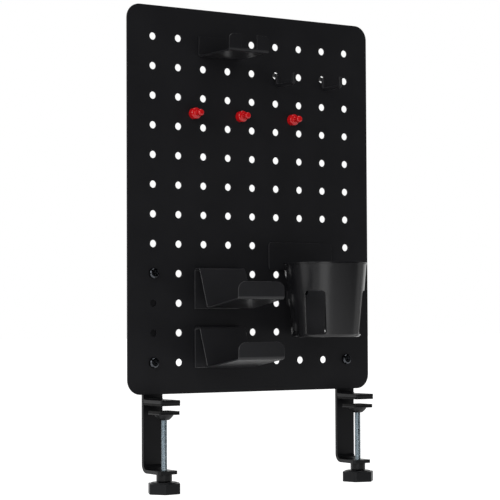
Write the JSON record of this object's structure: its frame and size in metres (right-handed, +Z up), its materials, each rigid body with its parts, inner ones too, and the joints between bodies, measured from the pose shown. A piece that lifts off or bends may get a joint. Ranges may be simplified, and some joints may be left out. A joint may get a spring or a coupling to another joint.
{
  "type": "desk pegboard organizer",
  "caption": "Clamp-on upright pegboard for a desk edge, with a headphone hanger, tilted trays, a slotted cup, wire hooks and magnetic pins.",
  "frame": {"origin": "desk top at its back edge, midway between the two clamps", "axes": "+X to the user's right, +Y away from the user behind the board, +Z up"},
  "size_m": [0.254, 0.0852, 0.4156],
  "materials": {
    "board_black": "satin powder coat",
    "clamp_black": "satin powder coat",
    "accessory_black": "satin powder coat",
    "black_steel": "black oxide",
    "zinc_steel": "zinc plated",
    "black_rubber": "matte",
    "knob_plastic": "fine matte",
    "cup_plastic": "gloss",
    "red_plastic": "gloss",
    "magnet": "nickel plated"
  },
  "bodies": {
    "frame": {"pegboard_panel": "board_black", "panel_screws": "black_steel", "panel_nuts": "black_steel", "left_clamp_strap": "clamp_black", "left_upper_jaw": "clamp_black", "left_jaw_pad": "black_rubber", "left_threaded_bush": "clamp_black", "right_clamp_strap": "clamp_black", "right_upper_jaw": "clamp_black", "right_jaw_pad": "black_rubber", "right_threaded_bush": "clamp_black"},
    "left_pressure": {"left_swivel_socket": "clamp_black", "left_pressure_plate": "clamp_black", "left_pressure_pad": "black_rubber"},
    "left_screw": {"left_clamp_screw": "zinc_steel", "left_knob": "knob_plastic"},
    "right_pressure": {"right_swivel_socket": "clamp_black", "right_pressure_plate": "clamp_black", "right_pressure_pad": "black_rubber"},
    "right_screw": {"right_clamp_screw": "zinc_steel", "right_knob": "knob_plastic"},
    "hanger": {"headphone_hanger": "accessory_black", "hanger_hooks": "accessory_black"},
    "upper_tray": {"upper_cradle": "accessory_black", "upper_cradle_pegs": "accessory_black"},
    "lower_tray": {"lower_cradle": "accessory_black", "lower_cradle_pegs": "accessory_black"},
    "cup_unit": {"cup": "cup_plastic", "cup_bracket": "accessory_black", "cup_bracket_hooks": "accessory_black", "cup_screws": "black_steel"},
    "left_hook": {"left_wire_hook": "accessory_black"},
    "right_hook": {"right_wire_hook": "accessory_black"},
    "left_pin": {"left_pin_cap": "red_plastic", "left_pin_magnet": "magnet"},
    "middle_pin": {"middle_pin_cap": "red_plastic", "middle_pin_magnet": "magnet"},
    "right_pin": {"right_pin_cap": "red_plastic", "right_pin_magnet": "magnet"}
  },
  "joints": [
    {"name": "left_clamp_slide", "type": "slide", "parent": "frame", "child": "left_pressure", "axis": [0, 0, -1], "range_m": [0, 0.04]},
    {"name": "left_screw_turn", "type": "hinge", "parent": "left_pressure", "child": "left_screw", "pos_m": [-0.1016, -0.0182, 0], "axis": [0, 0, -1], "range_deg": [0, 14400]},
    {"name": "right_clamp_slide", "type": "slide", "parent": "frame", "child": "right_pressure", "axis": [0, 0, -1], "range_m": [0, 0.04]},
    {"name": "right_screw_turn", "type": "hinge", "parent": "right_pressure", "child": "right_screw", "pos_m": [0.1016, -0.0182, 0], "axis": [0, 0, -1], "range_deg": [0, 14400]},
    {"name": "hanger_tilt", "type": "hinge", "parent": "frame", "child": "hanger", "pos_m": [-0.0381, -0.0012, 0.3199], "axis": [-1, 0, 0], "range_deg": [0, 80]},
    {"name": "upper_tray_tilt", "type": "hinge", "parent": "frame", "child": "upper_tray", "pos_m": [-0.0376, -0.0012, 0.1167], "axis": [-1, 0, 0], "range_deg": [0, 80]},
    {"name": "lower_tray_tilt", "type": "hinge", "parent": "frame", "child": "lower_tray", "pos_m": [-0.0376, -0.0012, 0.0659], "axis": [-1, 0, 0], "range_deg": [0, 25]},
    {"name": "cup_tilt", "type": "hinge", "parent": "frame", "child": "cup_unit", "pos_m": [0.0508, -0.0012, 0.1421], "axis": [-1, 0, 0], "range_deg": [0, 80]},
    {"name": "left_hook_tilt", "type": "hinge", "parent": "frame", "child": "left_hook", "pos_m": [0.0254, -0.0012, 0.2945], "axis": [-1, 0, 0], "range_deg": [0, 80]},
    {"name": "right_hook_tilt", "type": "hinge", "parent": "frame", "child": "right_hook", "pos_m": [0.0762, -0.0012, 0.2945], "axis": [-1, 0, 0], "range_deg": [0, 80]},
    {"name": "left_pin_pull", "type": "slide", "parent": "frame", "child": "left_pin", "axis": [0, -1, 0], "range_m": [0, 0.02]},
    {"name": "middle_pin_pull", "type": "slide", "parent": "frame", "child": "middle_pin", "axis": [0, -1, 0], "range_m": [0, 0.02]},
    {"name": "right_pin_pull", "type": "slide", "parent": "frame", "child": "right_pin", "axis": [0, -1, 0], "range_m": [0, 0.02]}
  ],
  "couplings": [
    {"joint": "left_screw_turn", "follows": "left_clamp_slide", "rad_per_m": 6283.2},
    {"joint": "right_screw_turn", "follows": "right_clamp_slide", "rad_per_m": 6283.2}
  ]
}
